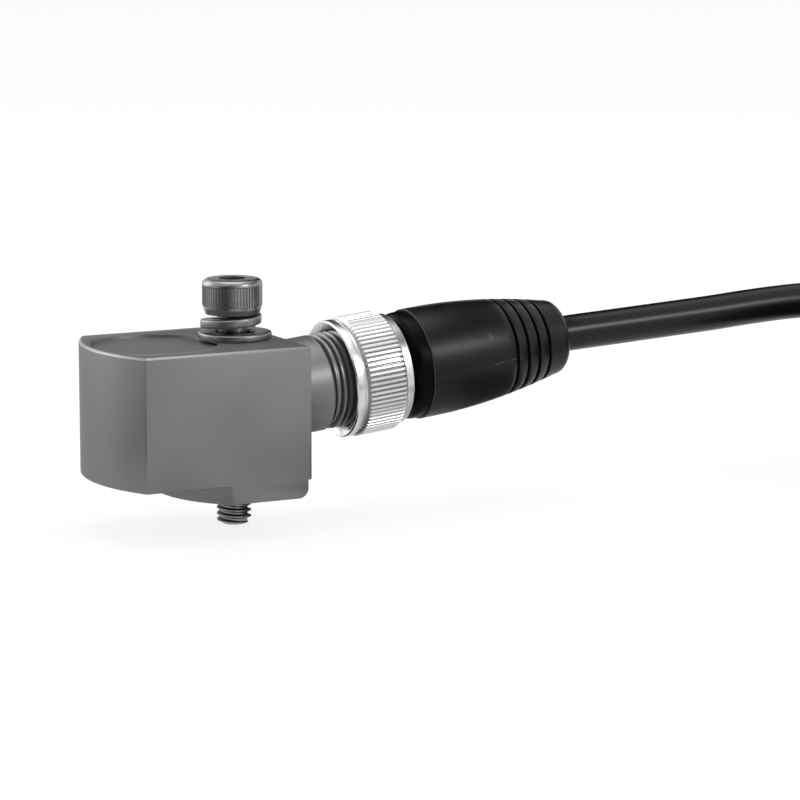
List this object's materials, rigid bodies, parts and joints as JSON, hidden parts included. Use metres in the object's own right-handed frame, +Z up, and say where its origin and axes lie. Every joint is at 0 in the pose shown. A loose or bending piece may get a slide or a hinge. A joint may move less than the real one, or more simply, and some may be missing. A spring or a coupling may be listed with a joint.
{
  "type": "vibration sensor",
  "caption": "Compact screw-down vibration sensor with a D-shaped metal housing and a round screw-locked plug on a moulded cable.",
  "frame": {"origin": "where the mounting screw's axis meets the plane of the foot", "axes": "+Z up along the mounting screw, +X along the connector towards the cable, +Y to the back"},
  "size_m": [0.1868, 0.0471, 0.0287],
  "materials": {
    "housing_metal": "bead-blasted and grey anodised, matte",
    "screw_steel": "turned stainless steel",
    "washer_steel": "stamped steel",
    "nickel": "nickel plated",
    "grip_plastic": "moulded, satin",
    "insert_plastic": "moulded, matte",
    "cable_jacket": "extruded jacket, satin",
    "tie_plastic": "moulded",
    "seal_rubber": "matte",
    "gold_contact": "gold plated",
    "piezo_ceramic": "sintered, matte",
    "insulator": "matte",
    "heavy_metal": "turned",
    "board_laminate": "solder mask",
    "wire_insulation": "extruded",
    "core_brown": "extruded",
    "core_white": "extruded",
    "core_blue": "extruded",
    "core_black": "extruded",
    "tinned_copper": "tinned"
  },
  "bodies": {
    "sensor": {"housing": "housing_metal", "lid": "housing_metal", "insulating_washer": "insulator", "piezo_rings": "piezo_ceramic", "electrode": "gold_contact", "seismic_mass": "heavy_metal", "preload_screw": "screw_steel", "circuit_board": "board_laminate", "board_components": "insert_plastic", "lead_wires": "wire_insulation", "receptacle_insert": "insert_plastic", "receptacle_pins": "gold_contact", "mounting_screw": "screw_steel", "spring_washer": "washer_steel", "flat_washer": "washer_steel", "plug_insert": "insert_plastic", "plug_sockets": "gold_contact", "plug_seal": "seal_rubber", "plug_grip": "grip_plastic", "cable": "cable_jacket", "cable_hank": "cable_jacket", "cable_tail": "cable_jacket", "cable_tie": "tie_plastic", "core_brown": "core_brown", "core_white": "core_white", "core_blue": "core_blue", "core_black": "core_black", "ferrules": "tinned_copper"},
    "nut": {"coupling_nut": "nickel"}
  },
  "joints": [
    {"name": "nut_turn", "type": "hinge", "parent": "sensor", "child": "nut", "pos_m": [0.0054, 0, 0.011], "axis": [0.9945, 0, 0.1045], "continuous": true}
  ]
}
